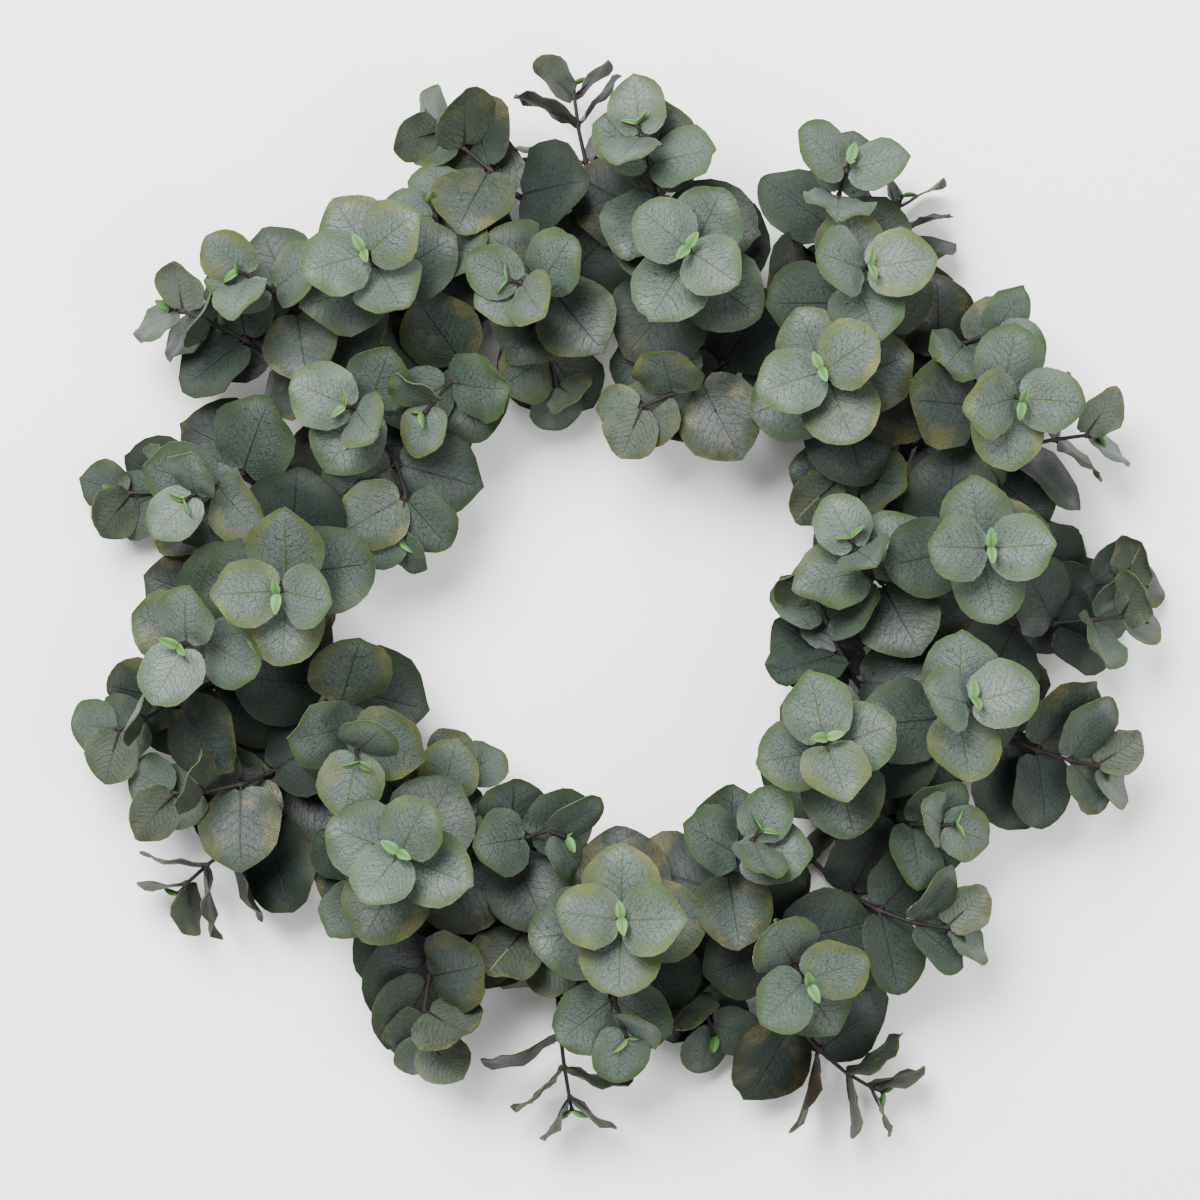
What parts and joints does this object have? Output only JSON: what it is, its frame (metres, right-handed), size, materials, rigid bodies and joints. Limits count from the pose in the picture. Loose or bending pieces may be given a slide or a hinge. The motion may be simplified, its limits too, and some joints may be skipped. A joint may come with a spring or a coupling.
{
  "type": "wreath",
  "caption": "Round wreath of faux silver-dollar eucalyptus sprays with round paired leaves, tied to a wire hoop and lying on its back, to hang on a door or lay round a candle",
  "frame": {"origin": "centre of the bounding box in X and Y, on the surface that the back of the hoop rests on", "axes": "+Z points out of the wreath's face, away from the surface; +Y is the top of the wreath as it hangs; +X is to the right as the viewer sees it"},
  "size_m": [0.5416, 0.5351, 0.1336],
  "materials": {
    "hoop": "dark brown floral tape wound round wire, matt",
    "leaf": "printed grey-green cloth leaves with a satin face, on matt dark brown stems"
  },
  "bodies": {
    "root": {"base_ring": "hoop", "spray_01": "leaf", "spray_02": "leaf", "spray_03": "leaf", "spray_04": "leaf", "spray_05": "leaf", "spray_06": "leaf", "spray_07": "leaf", "spray_08": "leaf", "spray_09": "leaf", "spray_10": "leaf", "spray_11": "leaf", "spray_12": "leaf", "spray_13": "leaf", "spray_14": "leaf", "spray_15": "leaf", "spray_16": "leaf", "spray_17": "leaf", "spray_18": "leaf", "spray_19": "leaf", "spray_20": "leaf", "spray_21": "leaf", "spray_22": "leaf", "spray_23": "leaf", "spray_24": "leaf", "spray_25": "leaf", "spray_26": "leaf", "spray_27": "leaf", "spray_28": "leaf", "spray_29": "leaf", "spray_30": "leaf", "spray_31": "leaf", "spray_32": "leaf", "spray_33": "leaf", "spray_34": "leaf", "spray_35": "leaf", "spray_36": "leaf", "spray_37": "leaf", "spray_38": "leaf", "spray_39": "leaf", "spray_40": "leaf", "spray_41": "leaf", "spray_42": "leaf", "spray_43": "leaf", "spray_44": "leaf", "spray_45": "leaf", "spray_46": "leaf", "spray_47": "leaf", "spray_48": "leaf", "spray_49": "leaf", "spray_50": "leaf", "spray_51": "leaf", "spray_52": "leaf", "spray_53": "leaf"}
  },
  "joints": []
}
